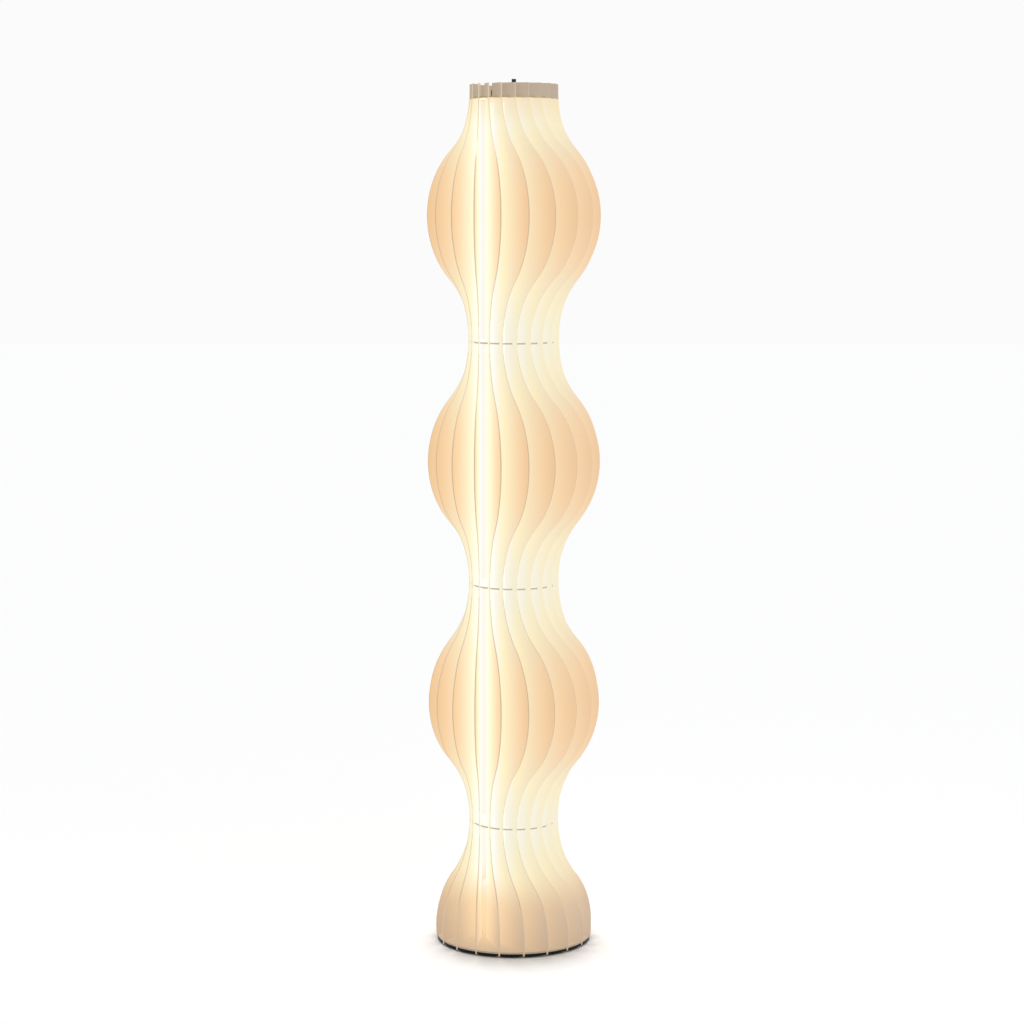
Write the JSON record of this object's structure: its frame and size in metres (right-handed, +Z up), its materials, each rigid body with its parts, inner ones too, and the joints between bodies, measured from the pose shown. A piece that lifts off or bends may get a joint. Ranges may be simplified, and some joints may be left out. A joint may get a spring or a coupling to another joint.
{
  "type": "slatted column floor lamp",
  "caption": "Floor lamp of canted translucent fins in a waisted column round a lit diffuser tube, held by neck rings and a top plate, on a flat steel base disc.",
  "frame": {"origin": "centre of the floor face under the foot pads, on the lamp's axis", "axes": "+Z up along the lamp's axis, -Y to the front as pictured, +X to the viewer's right"},
  "size_m": [0.2994, 0.2994, 1.512],
  "materials": {
    "opal_fin": "satin translucent sheet, warm white where the light reaches it",
    "opal_ring": "satin translucent sheet, unlit",
    "opal_tube": "satin opal tube, evenly lit from inside",
    "black_steel": "fine black powder coat",
    "pad_rubber": "matt",
    "aluminium": "mill finish",
    "white_plastic": "moulded, lightly textured",
    "black_nylon": "moulded",
    "zinc_steel": "bright zinc",
    "dark_metal": "dark bronzed",
    "strip_white": "white solder mask with yellow-white chips"
  },
  "bodies": {
    "lamp": {"fin_01": "opal_fin", "fin_02": "opal_fin", "fin_03": "opal_fin", "fin_04": "opal_fin", "fin_05": "opal_fin", "fin_06": "opal_fin", "fin_07": "opal_fin", "fin_08": "opal_fin", "fin_09": "opal_fin", "fin_10": "opal_fin", "fin_11": "opal_fin", "fin_12": "opal_fin", "fin_13": "opal_fin", "fin_14": "opal_fin", "fin_15": "opal_fin", "fin_16": "opal_fin", "fin_17": "opal_fin", "fin_18": "opal_fin", "fin_19": "opal_fin", "fin_20": "opal_fin", "neck_ring_1": "opal_ring", "neck_ring_2": "opal_ring", "neck_ring_3": "opal_ring", "light_strip_front": "strip_white", "light_strip_right": "strip_white", "light_strip_back": "strip_white", "light_strip_left": "strip_white", "top_plate": "opal_ring", "base_disc": "black_steel", "base_cover": "opal_fin", "foot_pads": "pad_rubber", "pole": "aluminium", "pole_flange": "black_steel", "flange_screws": "zinc_steel", "driver_housing": "white_plastic", "housing_screws": "zinc_steel", "led_driver": "white_plastic", "driver_bracket": "aluminium", "terminal_block": "white_plastic", "cord_gland": "black_nylon", "gland_nut": "black_nylon", "mains_lead": "white_plastic", "strip_lead": "white_plastic", "tube_foot_ring": "white_plastic", "diffuser_tube": "opal_tube", "tube_head_ring": "white_plastic", "link_board": "strip_white", "pole_plug": "zinc_steel", "stud": "zinc_steel", "washer": "zinc_steel", "thumb_screws": "dark_metal"},
    "finial": {"finial": "dark_metal"}
  },
  "joints": [
    {"name": "finial_turn", "type": "hinge", "parent": "lamp", "child": "finial", "pos_m": [0, 0, 1.4828], "axis": [0, 0, 1], "continuous": true}
  ]
}
